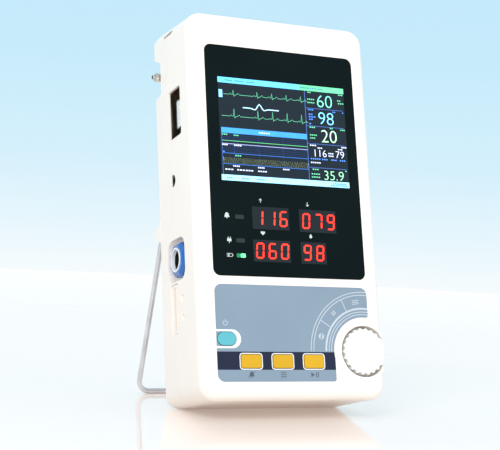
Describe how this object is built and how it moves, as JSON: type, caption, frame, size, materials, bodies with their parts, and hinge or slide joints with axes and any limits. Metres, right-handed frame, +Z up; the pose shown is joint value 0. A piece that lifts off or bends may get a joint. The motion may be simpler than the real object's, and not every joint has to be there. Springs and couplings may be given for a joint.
{
  "type": "patient monitor",
  "caption": "Small bedside vital signs monitor with a colour screen over red number displays, a keypad, a push-and-turn knob and a folding wire stand.",
  "frame": {"origin": "centre of the object's footprint on the surface it stands on, in its leaning pose", "axes": "+Z up from the surface; the screen faces -Y and leans back; +X is to the right as the screen is read"},
  "size_m": [0.1115, 0.1072, 0.2153],
  "materials": {
    "case": "satin moulded ABS",
    "window": "gloss tinted",
    "overlay": "fine matt printed polyester",
    "yellow_key": "satin",
    "cyan_key": "satin",
    "knob_white": "satin",
    "blue_plastic": "gloss",
    "white_plastic": "satin",
    "black_plastic": "matt",
    "dark_rubber": "matt",
    "light_rubber": "matt",
    "hose_rubber": "satin",
    "chrome": "polished",
    "steel": "satin",
    "tin": "dull plated",
    "lcd_glass": "gloss",
    "lcd_white": "matt",
    "led_red": "gloss",
    "led_green": "gloss",
    "led_clear": "gloss",
    "board_green": "solder mask",
    "battery_wrap": "satin",
    "motor_can": "satin"
  },
  "bodies": {
    "monitor": {"front_case": "case", "rear_case": "case", "case_seal": "dark_rubber", "case_screws": "steel", "battery_door": "case", "door_screws": "steel", "display_window": "window", "lcd_gasket": "dark_rubber", "lcd_panel": "lcd_glass", "lcd_backlight": "lcd_white", "lcd_frame": "tin", "led_board": "board_green", "keypad_overlay": "overlay", "key_board": "board_green", "key_switches": "black_plastic", "encoder_body": "tin", "encoder_nut": "steel", "dsub_shell": "tin", "dsub_insulator": "white_plastic", "temp_jack": "black_plastic", "ecg_housing": "blue_plastic", "ecg_sleeve": "white_plastic", "ecg_liner": "black_plastic", "ecg_insert": "black_plastic", "ecg_nut": "blue_plastic", "card_socket": "black_plastic", "dc_inlet": "black_plastic", "top_cover": "light_rubber", "main_board": "board_green", "board_screws": "steel", "board_spacers": "steel", "battery_pack": "battery_wrap", "battery_frame": "black_plastic", "nibp_nipple": "chrome", "hose": "hose_rubber", "pump_head": "black_plastic", "pump_motor": "motor_can", "air_valve": "motor_can", "pump_bracket": "tin", "speaker": "black_plastic", "stand_pins": "steel", "led_display_sys": "led_red", "led_display_dia": "led_red", "led_display_hr": "led_red", "led_display_spo2": "led_red", "alarm_led": "led_clear", "ac_led": "led_clear", "battery_led": "led_green"},
    "plunger": {"encoder_plunger": "black_plastic"},
    "knob": {"knob": "knob_white", "encoder_shaft": "steel"},
    "stand": {"stand": "steel"},
    "power_key": {"power_key": "cyan_key"},
    "silence_key": {"silence_key": "yellow_key"},
    "func_key": {"func_key": "yellow_key"},
    "start_key": {"start_key": "yellow_key"}
  },
  "joints": [
    {"name": "stand_fold", "type": "hinge", "parent": "monitor", "child": "stand", "pos_m": [0.00165, 0.02455, 0.09224], "axis": [-1, 0, 0], "range_deg": [0, 30]},
    {"name": "knob_push", "type": "slide", "parent": "monitor", "child": "plunger", "axis": [0, 0.9711, -0.2385], "range_m": [0, 0.0005], "stiffness_N_per_m": 900},
    {"name": "knob_turn", "type": "hinge", "parent": "plunger", "child": "knob", "pos_m": [0.04315, -0.04852, 0.03625], "axis": [0, 0.9711, -0.2385], "continuous": true},
    {"name": "power_key_press", "type": "slide", "parent": "monitor", "child": "power_key", "axis": [0, 0.9711, -0.2385], "range_m": [0, 0.0005], "stiffness_N_per_m": 500},
    {"name": "silence_key_press", "type": "slide", "parent": "monitor", "child": "silence_key", "axis": [0, 0.9711, -0.2385], "range_m": [0, 0.0005], "stiffness_N_per_m": 500},
    {"name": "func_key_press", "type": "slide", "parent": "monitor", "child": "func_key", "axis": [0, 0.9711, -0.2385], "range_m": [0, 0.0005], "stiffness_N_per_m": 500},
    {"name": "start_key_press", "type": "slide", "parent": "monitor", "child": "start_key", "axis": [0, 0.9711, -0.2385], "range_m": [0, 0.0005], "stiffness_N_per_m": 500}
  ]
}
